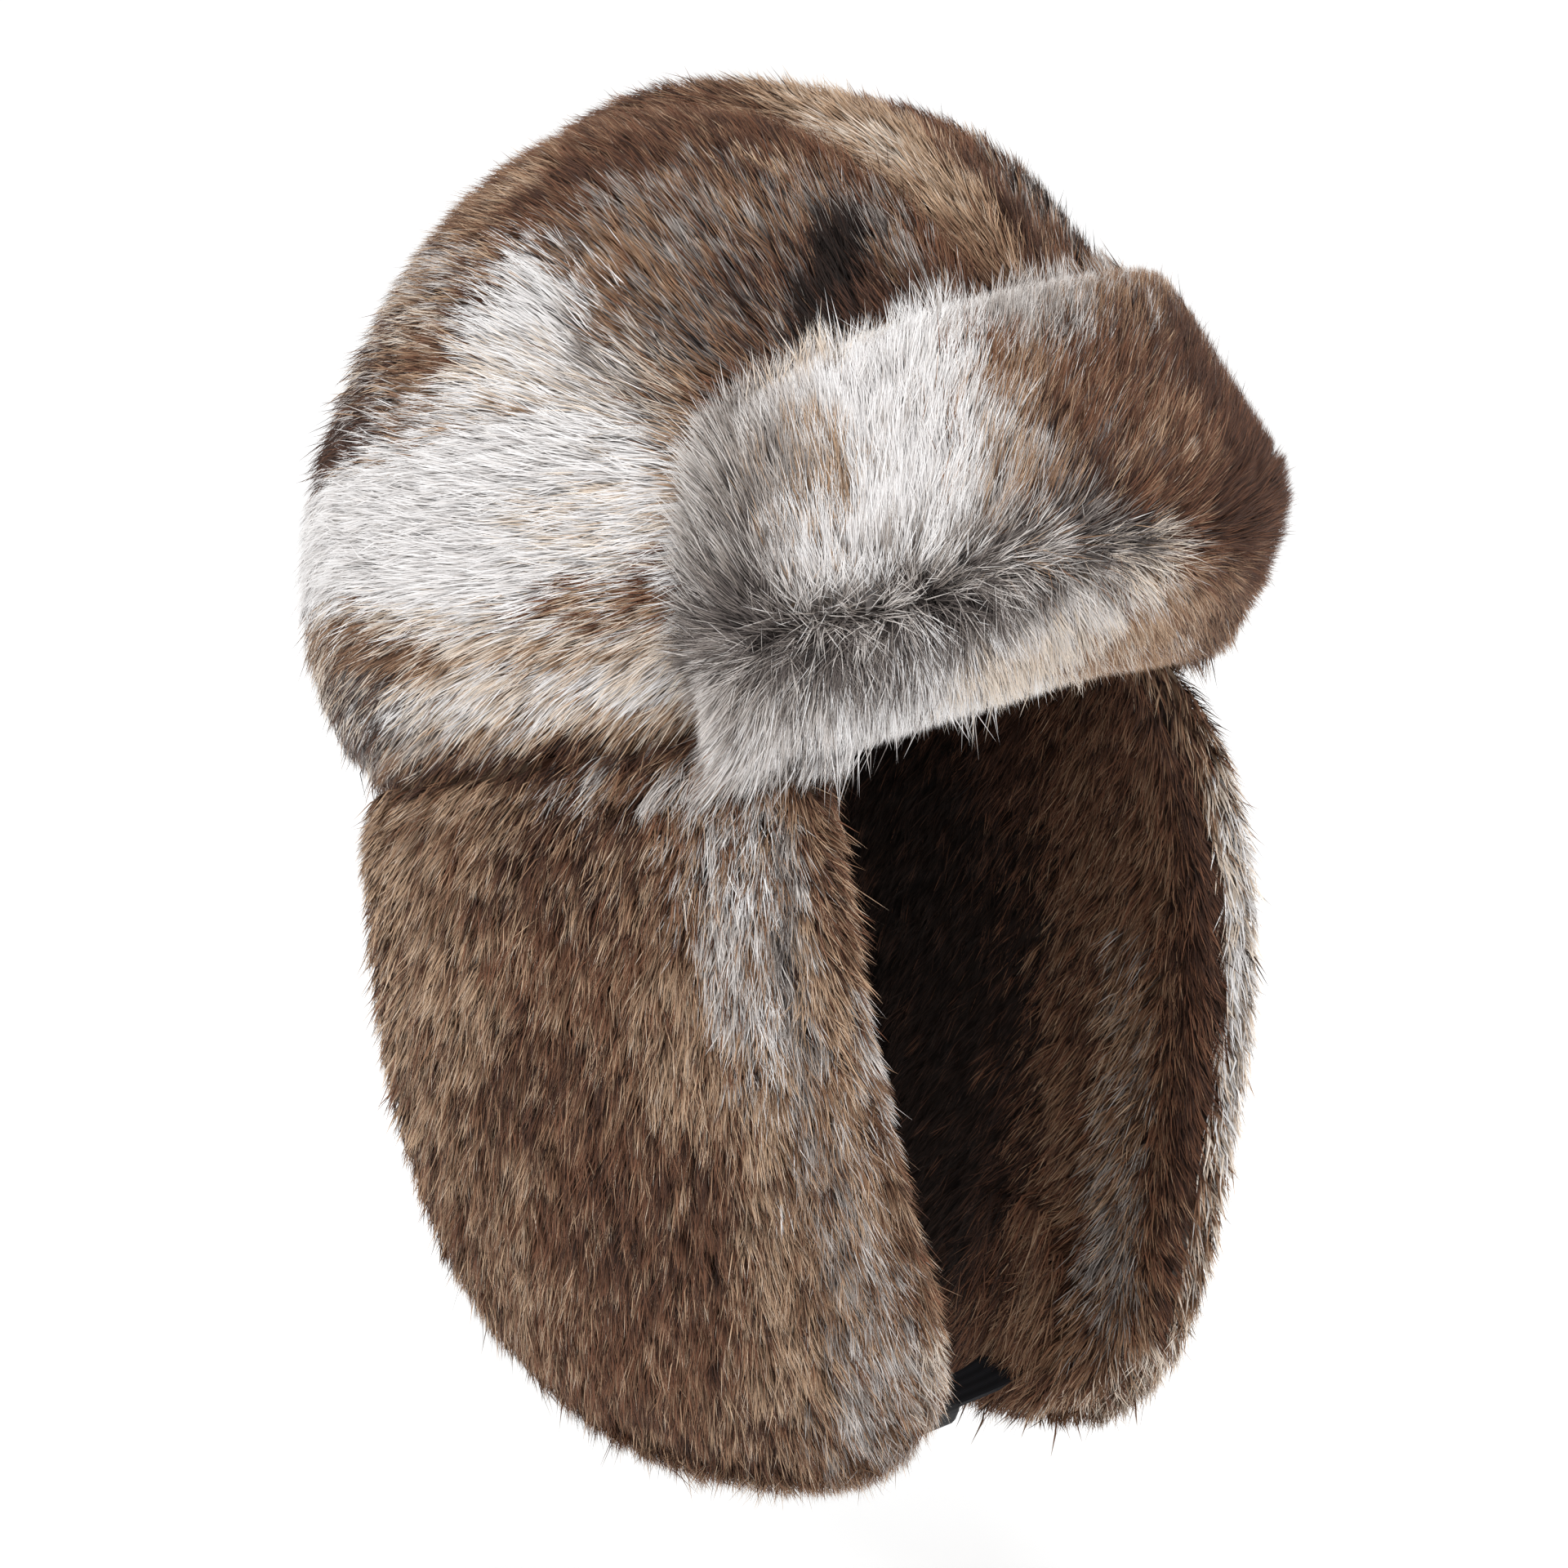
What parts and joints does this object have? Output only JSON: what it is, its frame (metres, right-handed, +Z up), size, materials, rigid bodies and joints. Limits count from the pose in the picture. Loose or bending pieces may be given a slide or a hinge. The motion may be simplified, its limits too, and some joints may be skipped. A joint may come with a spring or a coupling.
{
  "type": "earflap fur hat",
  "caption": "Winter hat of deep faux fur with a domed crown, a turned-up front flap, long ear flaps joined round the nape, fur lining and a chin strap.",
  "frame": {"origin": "inside top of the crown, where the top of the head touches the hat", "axes": "+Z up; -Y towards the wearer's face, +X towards the wearer's left"},
  "size_m": [0.2126, 0.2735, 0.3724],
  "materials": {
    "crown_fur_right": "deep pile, white and brown",
    "crown_fur_centre": "deep pile, brown",
    "crown_fur_left": "deep pile, brown and grey",
    "front_flap_fur": "deep pile, white to brown",
    "flap_fur": "deep pile, brown with a grey edge",
    "lining_fur": "pile, dark brown",
    "strap_webbing": "woven, black",
    "clasp_plastic": "satin, black"
  },
  "bodies": {
    "root": {"crown_side_right": "crown_fur_right", "crown_centre": "crown_fur_centre", "crown_side_left": "crown_fur_left", "front_flap": "front_flap_fur", "flap_curtain": "flap_fur", "flap_lining": "lining_fur", "chin_strap": "strap_webbing", "chin_clasp": "clasp_plastic"}
  },
  "joints": []
}
